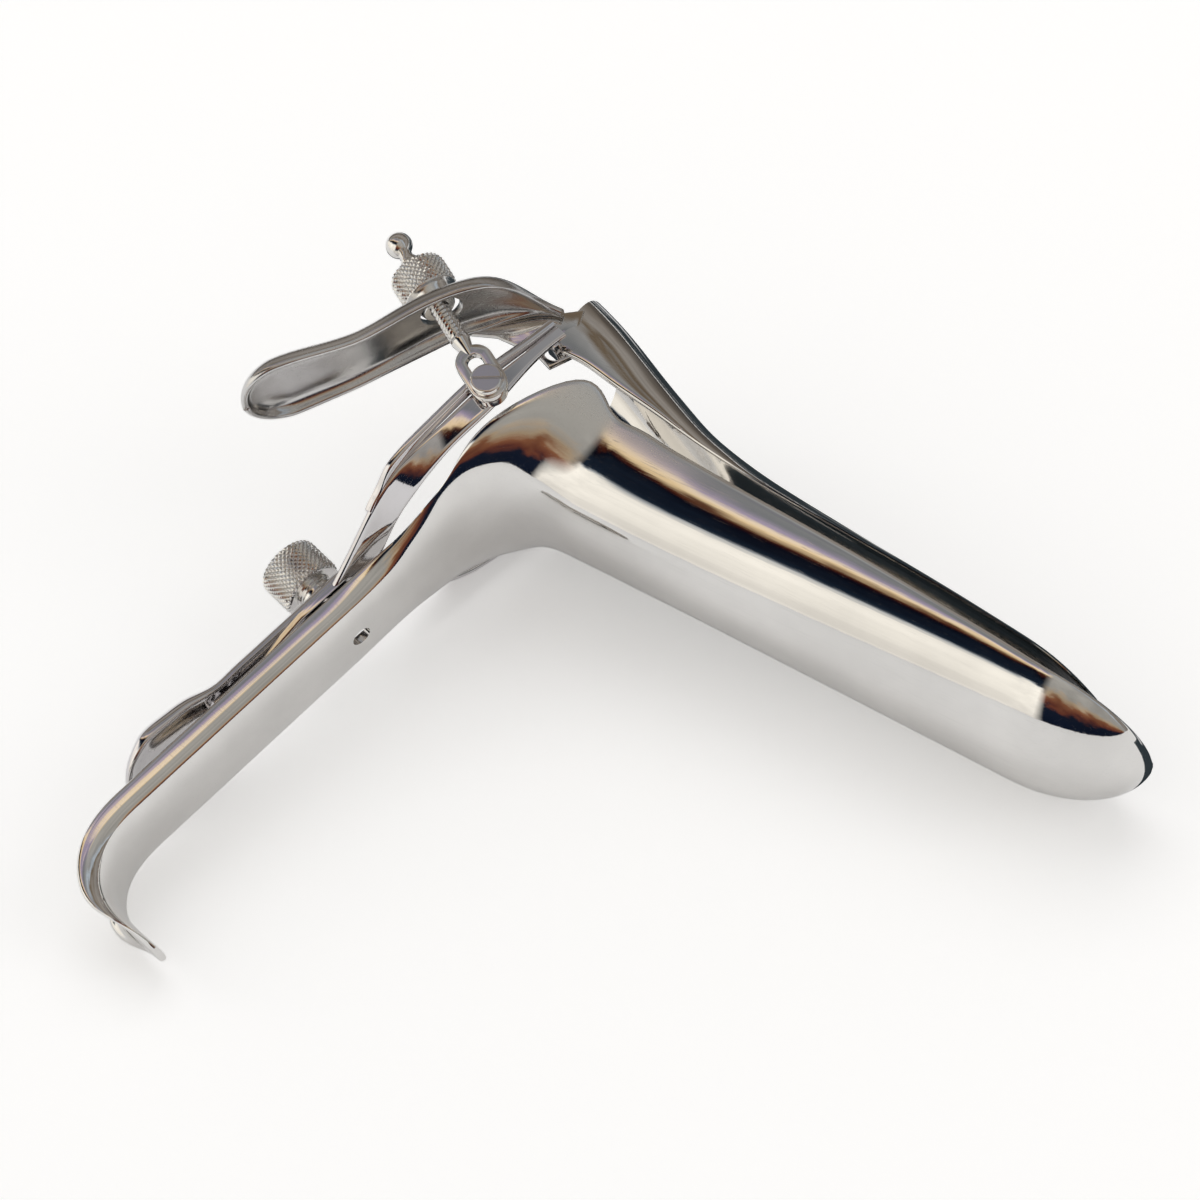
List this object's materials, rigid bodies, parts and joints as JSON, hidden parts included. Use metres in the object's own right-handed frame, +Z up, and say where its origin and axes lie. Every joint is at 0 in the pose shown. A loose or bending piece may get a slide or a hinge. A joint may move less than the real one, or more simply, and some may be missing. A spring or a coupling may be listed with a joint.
{
  "type": "bivalve speculum",
  "caption": "Hand-held two-bladed metal speculum with a sliding yoke, hinged upper blade, thumb lever and screw locks.",
  "frame": {"origin": "middle of the base of the whole object, on the surface that it lies on", "axes": "+X from the hook and handle end towards the blades' tips, +Y from the hook towards the lever and upper blade, +Z up from the surface that it lies on, towards its lever side"},
  "size_m": [0.1377, 0.1192, 0.0555],
  "materials": {
    "blade_steel": "polished stainless steel",
    "frame_steel": "polished stainless steel",
    "turned_steel": "turned and polished stainless steel",
    "knurled_steel": "knurled stainless steel"
  },
  "bodies": {
    "lower": {"lower_blade": "blade_steel"},
    "frame": {"yoke": "frame_steel", "slide_channel": "frame_steel", "pivot_boss": "frame_steel", "pivot_screw": "turned_steel"},
    "upper": {"upper_blade": "blade_steel", "thumb_lever": "blade_steel"},
    "rod": {"threaded_rod": "turned_steel", "rod_stop": "turned_steel"},
    "nut": {"lever_nut": "knurled_steel"},
    "clamp": {"thumb_screw": "knurled_steel"}
  },
  "joints": [
    {"name": "frame_slide", "type": "slide", "parent": "lower", "child": "frame", "axis": [0.2739, 0.9492, 0.1549], "range_m": [0, 0.016]},
    {"name": "blade_hinge", "type": "hinge", "parent": "frame", "child": "upper", "pos_m": [-0.03684, 0.04553, 0.02539], "axis": [0.0701, -0.1804, 0.9811], "range_deg": [0, 27]},
    {"name": "rod_swing", "type": "hinge", "parent": "frame", "child": "rod", "pos_m": [-0.03834, 0.02965, 0.04658], "axis": [0.0701, -0.1804, 0.9811], "range_deg": [0, 26]},
    {"name": "nut_run", "type": "slide", "parent": "rod", "child": "nut", "axis": [0.8662, -0.4769, -0.1496], "range_m": [0, 0.006]},
    {"name": "clamp_turn", "type": "hinge", "parent": "lower", "child": "clamp", "pos_m": [-0.04552, -0.00246, 0.01718], "axis": [-0.9592, 0.2579, 0.116], "continuous": true}
  ],
  "couplings": [
    {"joint": "rod_swing", "follows": "blade_hinge", "ratio": 0.95},
    {"joint": "nut_run", "follows": "blade_hinge", "m_per_rad": 0.01207}
  ]
}
